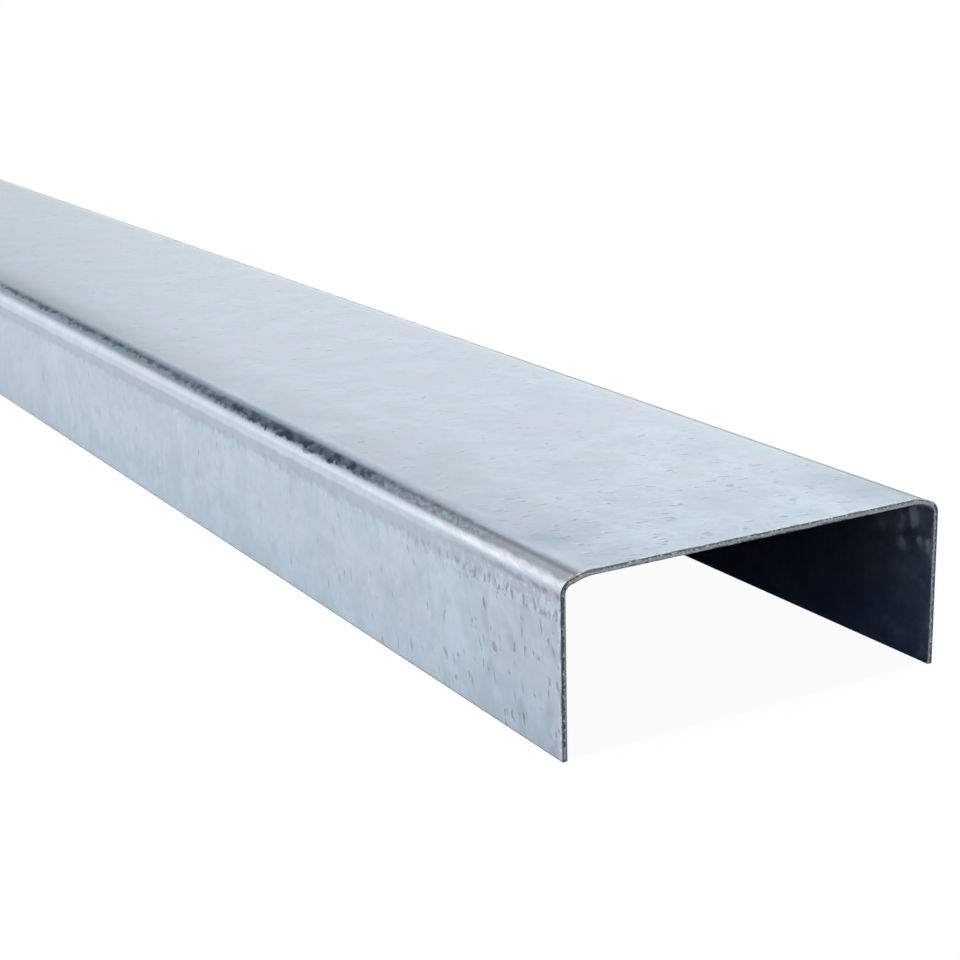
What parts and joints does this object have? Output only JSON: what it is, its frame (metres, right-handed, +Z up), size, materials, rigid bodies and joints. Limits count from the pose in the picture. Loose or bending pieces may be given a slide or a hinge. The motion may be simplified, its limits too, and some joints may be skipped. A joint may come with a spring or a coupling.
{
  "type": "steel track",
  "caption": "Galvanised steel track for framed walls: a long folded U channel whose web fastens to a floor or ceiling while its legs hold the ends of the studs.",
  "frame": {"origin": "on the floor under the middle of the web, halfway along the track", "axes": "+X along the track, +Y across the web, +Z up from the legs' free edges to the web"},
  "size_m": [3.048, 0.0944, 0.0381],
  "materials": {
    "galvanised_steel": "satin, zinc coated"
  },
  "bodies": {
    "root": {"track": "galvanised_steel"}
  },
  "joints": []
}
